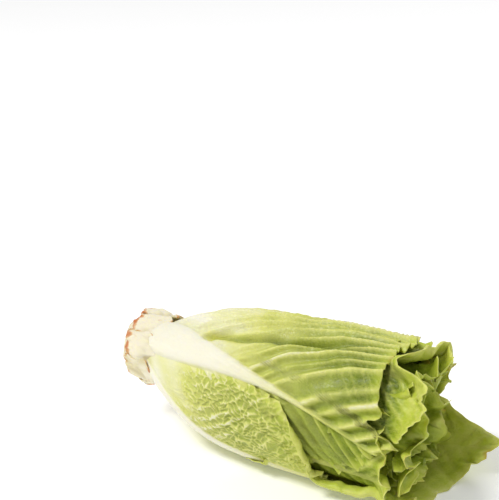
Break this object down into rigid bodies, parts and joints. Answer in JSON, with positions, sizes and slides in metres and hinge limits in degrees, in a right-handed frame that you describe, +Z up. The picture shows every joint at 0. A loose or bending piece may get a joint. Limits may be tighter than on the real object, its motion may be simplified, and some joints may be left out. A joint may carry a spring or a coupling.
{
  "type": "romaine lettuce heart",
  "caption": "Trimmed romaine lettuce heart lying on its side: layered crinkled leaves with white midribs round a short cut stem.",
  "frame": {"origin": "under the middle of the heart's bounding box, on the surface it lies on", "axes": "+X along the heart from the cut stem to the leaf tips, +Y towards its back, +Z up"},
  "size_m": [0.258, 0.1026, 0.0962],
  "materials": {
    "stem_flesh": "cut, slightly dried and browned",
    "trimmed_foot": "torn, cream white with tan edges",
    "outer_leaf": "waxy, crinkled between pale veins",
    "inner_leaf": "waxy, finely veined"
  },
  "bodies": {
    "root": {"cut_stem": "stem_flesh", "trimmed_stub_1": "trimmed_foot", "trimmed_stub_2": "trimmed_foot", "trimmed_stub_3": "trimmed_foot", "trimmed_stub_4": "trimmed_foot", "trimmed_stub_5": "trimmed_foot", "trimmed_stub_6": "trimmed_foot", "trimmed_stub_7": "trimmed_foot", "leaf_01_front_low": "outer_leaf", "leaf_02_underside": "outer_leaf", "leaf_03_front_top": "outer_leaf", "leaf_04_back": "outer_leaf", "leaf_05_top": "outer_leaf", "leaf_06_lower_front": "outer_leaf", "leaf_07_inner": "inner_leaf", "leaf_08_inner": "inner_leaf", "leaf_09_inner": "inner_leaf", "leaf_10_inner": "inner_leaf", "leaf_11_inner": "inner_leaf", "leaf_12_inner": "inner_leaf", "leaf_13_inner": "inner_leaf", "leaf_14_inner": "inner_leaf", "leaf_15_inner": "inner_leaf", "leaf_16_inner": "inner_leaf", "leaf_17_inner": "inner_leaf", "leaf_18_inner": "inner_leaf", "heart_bud": "inner_leaf"}
  },
  "joints": []
}
